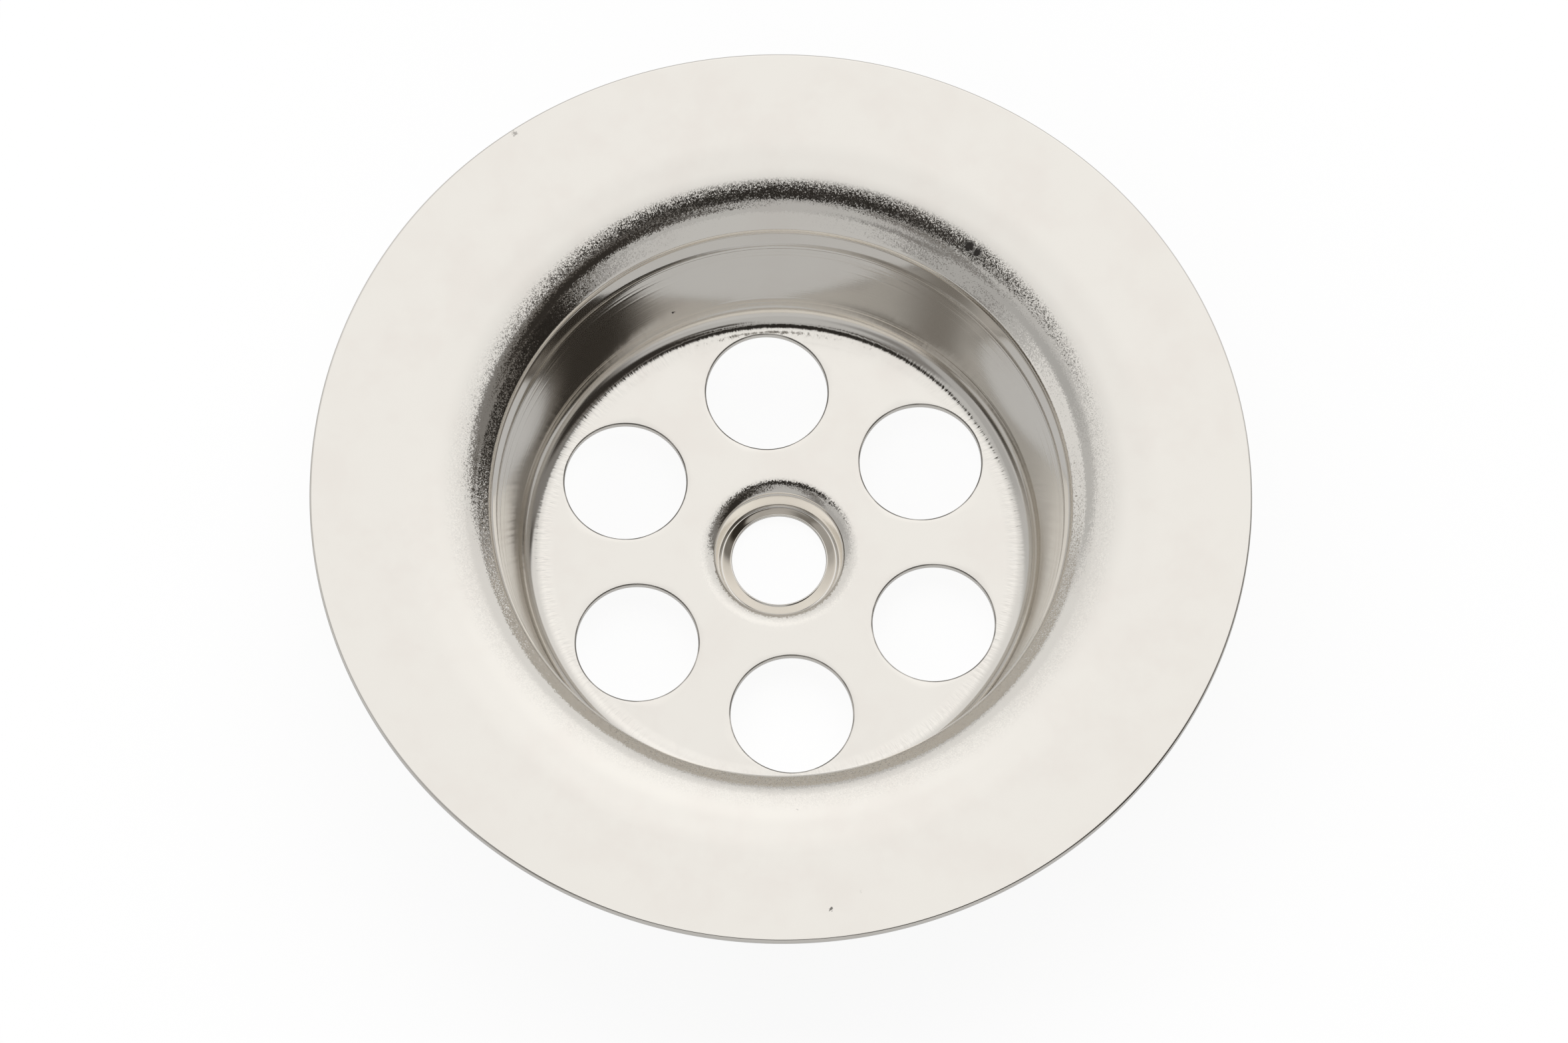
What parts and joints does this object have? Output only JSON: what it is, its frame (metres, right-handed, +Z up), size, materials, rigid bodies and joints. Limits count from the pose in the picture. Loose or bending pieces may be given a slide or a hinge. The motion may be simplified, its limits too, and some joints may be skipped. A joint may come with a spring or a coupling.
{
  "type": "sink strainer dish with flange seal",
  "caption": "Flanged round steel strainer dish for a sink waste, with drain holes, a recessed screw hole in its floor and a flat rubber seal under its flange.",
  "frame": {"origin": "centre of the sink's opening, in the plane of the sink's top face, where the seal's underside lies", "axes": "+Z up along the axis of the dish, out of the sink; one drain hole lies 34 degrees from +X towards +Y"},
  "size_m": [0.07, 0.07, 0.0161],
  "materials": {
    "stainless_steel": "satin, pressed from sheet",
    "black_rubber": "matt moulded rubber"
  },
  "bodies": {
    "dish": {"strainer_dish": "stainless_steel"},
    "seal": {"flange_seal": "black_rubber"}
  },
  "joints": [
    {"name": "seal_slip", "type": "slide", "parent": "dish", "child": "seal", "axis": [0, 0, -1], "range_m": [0, 0.013]}
  ]
}
